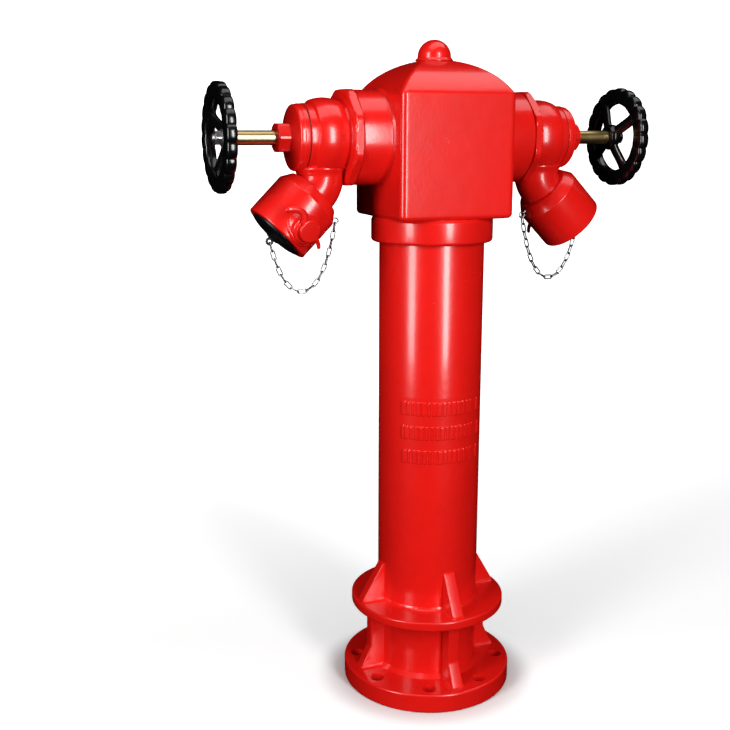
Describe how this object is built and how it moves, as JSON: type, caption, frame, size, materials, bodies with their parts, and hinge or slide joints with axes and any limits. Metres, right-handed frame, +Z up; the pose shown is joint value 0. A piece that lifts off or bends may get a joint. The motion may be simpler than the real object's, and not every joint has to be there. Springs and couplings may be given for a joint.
{
  "type": "fire hydrant",
  "caption": "Flanged pillar fire hydrant: gusseted standpipe, square head with a vaulted roof, and side landing valves with handwheels, elbowed hose outlets and chained caps.",
  "frame": {"origin": "centre of the underside of the base flange, on the pipe's axis", "axes": "+Z up along the standpipe, +X along the line of the two valves, -Y the front"},
  "size_m": [0.708, 0.285, 1.0637],
  "materials": {
    "red_enamel": "gloss fire-red enamel over cast and welded iron, lightly orange-peeled, small chips at edges",
    "rubber": "black nitrile rubber and graphite packing",
    "brass": "turned brass, bright, faint tool lines",
    "black_enamel": "black gloss enamel on a cast handwheel",
    "steel": "plain machined and zinc-plated steel",
    "cap_plastic": "black moulded plastic, satin",
    "zinc": "bright zinc-plated steel wire"
  },
  "bodies": {
    "pillar": {"standpipe": "red_enamel", "base_flange": "red_enamel", "lower_gussets": "red_enamel", "ground_flange": "red_enamel", "upper_gussets": "red_enamel", "head_casing": "red_enamel", "crown_plug": "red_enamel", "right_valve_body": "red_enamel", "left_valve_body": "red_enamel", "right_bonnet": "red_enamel", "left_bonnet": "red_enamel", "right_gland_nut": "red_enamel", "left_gland_nut": "red_enamel", "right_hose_coupling": "red_enamel", "left_hose_coupling": "red_enamel", "right_catch_cover": "red_enamel", "left_catch_cover": "red_enamel", "head_seal": "rubber", "crown_plug_seal": "rubber", "right_bonnet_gasket": "rubber", "left_bonnet_gasket": "rubber", "right_coupling_seal": "rubber", "left_coupling_seal": "rubber", "right_gland_packing": "rubber", "left_gland_packing": "rubber", "right_seat_ring": "brass", "left_seat_ring": "brass", "right_catch_spring": "steel", "left_catch_spring": "steel", "right_chain": "zinc", "left_chain": "zinc", "right_chain_anchor": "zinc", "left_chain_anchor": "zinc"},
    "right_disc": {"right_disc_carrier": "brass", "right_disc_facing": "rubber", "right_disc_nut": "brass"},
    "right_spindle": {"right_stem": "brass", "right_handwheel": "black_enamel", "right_wheel_washer": "steel", "right_wheel_nut": "steel"},
    "right_cap": {"right_blank_cap": "cap_plastic"},
    "right_catch": {"right_catch_pin": "steel", "right_catch_knob": "red_enamel"},
    "left_disc": {"left_disc_carrier": "brass", "left_disc_facing": "rubber", "left_disc_nut": "brass"},
    "left_spindle": {"left_stem": "brass", "left_handwheel": "black_enamel", "left_wheel_washer": "steel", "left_wheel_nut": "steel"},
    "left_cap": {"left_blank_cap": "cap_plastic"},
    "left_catch": {"left_catch_pin": "steel", "left_catch_knob": "red_enamel"}
  },
  "joints": [
    {"name": "right_disc_lift", "type": "slide", "parent": "pillar", "child": "right_disc", "axis": [1, 0, 0], "range_m": [0, 0.018]},
    {"name": "right_wheel_turn", "type": "hinge", "parent": "right_disc", "child": "right_spindle", "pos_m": [0.3, 0, 0.9167], "axis": [1, 0, 0], "range_deg": [0, 1290]},
    {"name": "right_cap_pull", "type": "slide", "parent": "pillar", "child": "right_cap", "axis": [0.7071, 0, -0.7071], "range_m": [0, 0.045], "deforming": ["right_chain"]},
    {"name": "right_catch_pull", "type": "slide", "parent": "pillar", "child": "right_catch", "axis": [-0.1687, 0.9711, -0.1687], "range_m": [0, 0.005], "stiffness_N_per_m": 900, "deforming": ["right_catch_spring"]},
    {"name": "left_disc_lift", "type": "slide", "parent": "pillar", "child": "left_disc", "axis": [-1, 0, 0], "range_m": [0, 0.018]},
    {"name": "left_wheel_turn", "type": "hinge", "parent": "left_disc", "child": "left_spindle", "pos_m": [-0.3, 0, 0.9167], "axis": [-1, 0, 0], "range_deg": [0, 1290]},
    {"name": "left_cap_pull", "type": "slide", "parent": "pillar", "child": "left_cap", "axis": [-0.7071, 0, -0.7071], "range_m": [0, 0.045], "deforming": ["left_chain"]},
    {"name": "left_catch_pull", "type": "slide", "parent": "pillar", "child": "left_catch", "axis": [0.1687, -0.9711, -0.1687], "range_m": [0, 0.005], "stiffness_N_per_m": 900, "deforming": ["left_catch_spring"]}
  ],
  "couplings": [
    {"joint": "right_disc_lift", "follows": "right_wheel_turn", "m_per_rad": 0.00079577},
    {"joint": "left_disc_lift", "follows": "left_wheel_turn", "m_per_rad": 0.00079577}
  ]
}
